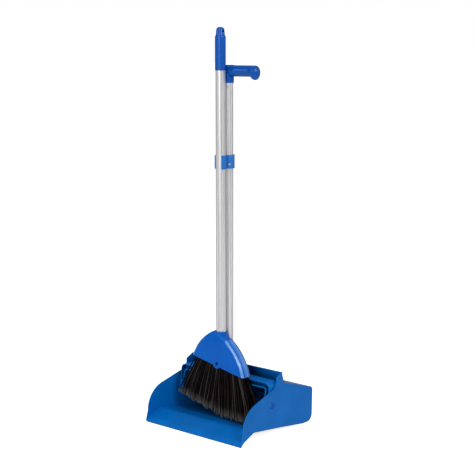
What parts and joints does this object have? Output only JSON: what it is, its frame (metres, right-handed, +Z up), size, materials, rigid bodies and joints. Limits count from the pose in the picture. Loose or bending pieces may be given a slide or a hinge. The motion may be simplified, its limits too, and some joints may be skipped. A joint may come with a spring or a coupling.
{
  "type": "upright dust pan and brush set",
  "caption": "Upright dust pan and brush set: a hooded hopper pan on a swinging bail with a tall tube handle and side grip, and an angled long-handled brush clipped to it.",
  "frame": {"origin": "the middle of the footprint's box on the floor that the pan stands on", "axes": "+Z up along the two handle tubes, +X across the pan towards the side grip's end, +Y from the pan's lip to its rear wall"},
  "size_m": [0.292, 0.262, 0.8936],
  "materials": {
    "pan_plastic": "satin moulded polypropylene",
    "head_plastic": "gloss moulded polypropylene",
    "grip_plastic": "gloss moulded polypropylene",
    "clip_plastic": "gloss moulded nylon",
    "tube_aluminium": "satin anodised, drawn along its length",
    "steel": "bright zinc plated",
    "black_plastic": "matt",
    "bristle_fibre": "crimped filaments with paler split tips"
  },
  "bodies": {
    "pan": {"pan_body": "pan_plastic", "pivot_pin_left": "grip_plastic", "pivot_pin_right": "grip_plastic"},
    "handle": {"yoke": "pan_plastic", "socket_rivet": "steel", "pan_tube": "tube_aluminium", "side_grip": "grip_plastic", "grip_end_cap": "grip_plastic", "grip_rivet": "steel", "brush_clip": "clip_plastic", "clip_screw": "steel"},
    "brush": {"brush_tube": "tube_aluminium", "brush_grip": "grip_plastic", "tube_tip": "black_plastic", "head_front_cover": "head_plastic", "head_rear_cover": "head_plastic", "bristle_block": "black_plastic", "bristles": "bristle_fibre", "front_cover_screw": "steel", "rear_cover_screws": "steel"}
  },
  "joints": [
    {"name": "handle_fold", "type": "hinge", "parent": "pan", "child": "handle", "pos_m": [0, -0.021, 0.068], "axis": [1, 0, 0], "range_deg": [0, 80]},
    {"name": "brush_lift", "type": "slide", "parent": "handle", "child": "brush", "axis": [0, 0, 1], "range_m": [0, 0.34]}
  ]
}
